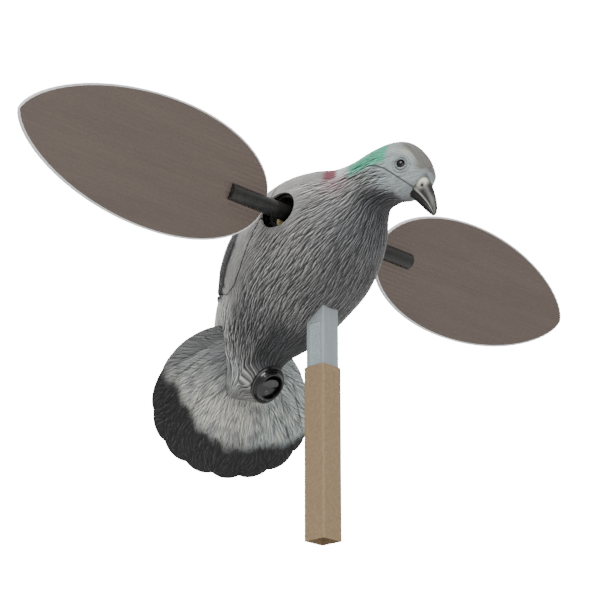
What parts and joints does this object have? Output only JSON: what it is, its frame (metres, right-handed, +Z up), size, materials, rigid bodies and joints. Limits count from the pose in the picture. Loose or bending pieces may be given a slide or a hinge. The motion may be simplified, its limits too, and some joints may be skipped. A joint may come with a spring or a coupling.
{
  "type": "motion wing decoy",
  "caption": "Hollow pigeon decoy on a square post that slides into a stake sleeve, with a motor that spins two flat wings.",
  "frame": {"origin": "centre of the stake sleeve's open lower end", "axes": "+Z up the stake, the bird faces -Y, wings along X with the bird's right wing at -X"},
  "size_m": [0.6, 0.2318, 0.291],
  "materials": {
    "sleeve_tan": "matt tan-brown coating",
    "post_grey": "dull grey",
    "strip_grey": "pale grey, fine ribs",
    "steel": "zinc plated",
    "black_plastic": "satin black",
    "motor_steel": "drawn can",
    "cap_plastic": "ivory moulding",
    "brass": "stamped",
    "capacitor_tan": "dipped ceramic",
    "plumage": "moulded feathers, airbrushed grey with green, white and burgundy neck marks",
    "saddle_plumage": "moulded folded wings, airbrushed grey and black",
    "tail_plumage": "pale grey with a black end band",
    "eye_gloss": "polished black",
    "cell_wrap": "plain shrink sleeve",
    "switch_rubber": "moulded rubber",
    "switch_black": "polished black",
    "wire_red": "PVC",
    "wire_black": "PVC",
    "wire_orange": "PVC",
    "wing_sheet": "brown print on white fluted sheet"
  },
  "bodies": {
    "stake": {"stake_sleeve": "sleeve_tan"},
    "decoy": {"post_tube": "post_grey", "friction_strip": "strip_grey", "post_pin": "steel", "motor_cradle": "black_plastic", "motor_strap": "black_plastic", "strap_screws": "steel", "motor_tube": "black_plastic", "motor_can": "motor_steel", "motor_end_caps": "cap_plastic", "motor_terminals": "brass", "noise_capacitor": "capacitor_tan", "body_shell": "plumage", "tail_fan": "tail_plumage", "eyes": "eye_gloss", "battery_box": "black_plastic", "battery_cells": "cell_wrap", "battery_contacts": "steel", "switch_body": "switch_black", "switch_boot": "switch_rubber", "switch_terminals": "brass", "lead_red": "wire_red", "lead_black": "wire_black", "lead_switched": "wire_orange"},
    "saddle": {"back_saddle": "saddle_plumage"},
    "rocker": {"switch_rocker": "switch_black"},
    "rotor": {"motor_shaft": "steel", "wing_hub_right": "black_plastic", "wing_hub_left": "black_plastic", "hub_screws": "steel"},
    "wing_right": {"wing_blade_right": "wing_sheet", "wing_rod_right": "steel"},
    "wing_left": {"wing_blade_left": "wing_sheet", "wing_rod_left": "steel"}
  },
  "joints": [
    {"name": "post_slide", "type": "slide", "parent": "stake", "child": "decoy", "axis": [0, 0, 1], "range_m": [0, 0.065]},
    {"name": "saddle_lift", "type": "slide", "parent": "decoy", "child": "saddle", "axis": [0, 0.8427, 0.5384], "range_m": [0, 0.06]},
    {"name": "rocker_tilt", "type": "hinge", "parent": "decoy", "child": "rocker", "pos_m": [0, 0.0588, 0.1326], "axis": [1, 0, 0], "range_deg": [-24, 0]},
    {"name": "wing_spin", "type": "hinge", "parent": "decoy", "child": "rotor", "pos_m": [0, 0, 0.245], "axis": [1, 0, 0], "continuous": true},
    {"name": "wing_right_pull", "type": "slide", "parent": "rotor", "child": "wing_right", "axis": [-1, 0, 0], "range_m": [0, 0.044]},
    {"name": "wing_left_pull", "type": "slide", "parent": "rotor", "child": "wing_left", "axis": [1, 0, 0], "range_m": [0, 0.044]}
  ]
}
